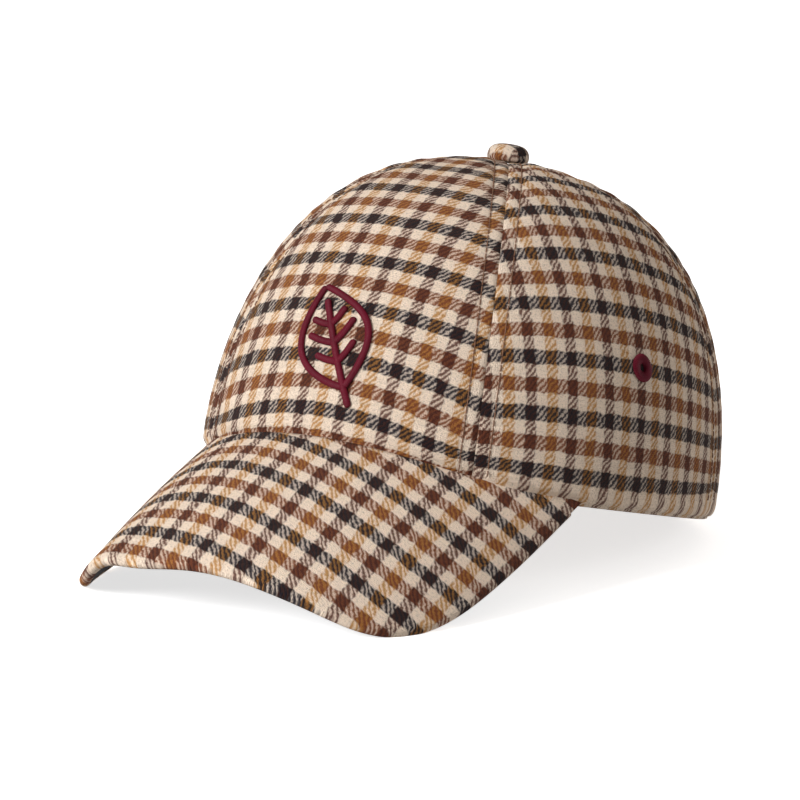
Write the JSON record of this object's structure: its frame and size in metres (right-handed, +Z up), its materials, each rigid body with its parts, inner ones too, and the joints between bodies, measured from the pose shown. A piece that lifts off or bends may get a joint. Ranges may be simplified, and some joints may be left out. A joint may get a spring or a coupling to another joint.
{
  "type": "baseball cap",
  "caption": "Baseball cap in checked tweed: a round crown of sewn panels, a curved visor with a dark underside, a covered top button, sewn air holes and a raised leaf on the front.",
  "frame": {"origin": "on the surface the cap stands on, under the middle of its box", "axes": "+Z up, -Y towards the front of the visor, +X towards the wearer's left"},
  "size_m": [0.163, 0.258, 0.1316],
  "materials": {
    "tweed_cloth": "brushed wool tweed in a cream, chocolate, ochre and navy check",
    "dark_cloth": "plain black cotton twill",
    "burgundy_thread": "glossy burgundy embroidery thread in satin stitch"
  },
  "bodies": {
    "root": {"front_panel": "tweed_cloth", "side_panel_left": "tweed_cloth", "side_panel_right": "tweed_cloth", "back_panel_left": "tweed_cloth", "back_panel_right": "tweed_cloth", "top_button": "tweed_cloth", "visor_top": "tweed_cloth", "visor_underside": "dark_cloth", "eyelet_left": "burgundy_thread", "eyelet_right": "burgundy_thread", "embroidered_leaf": "burgundy_thread"}
  },
  "joints": []
}
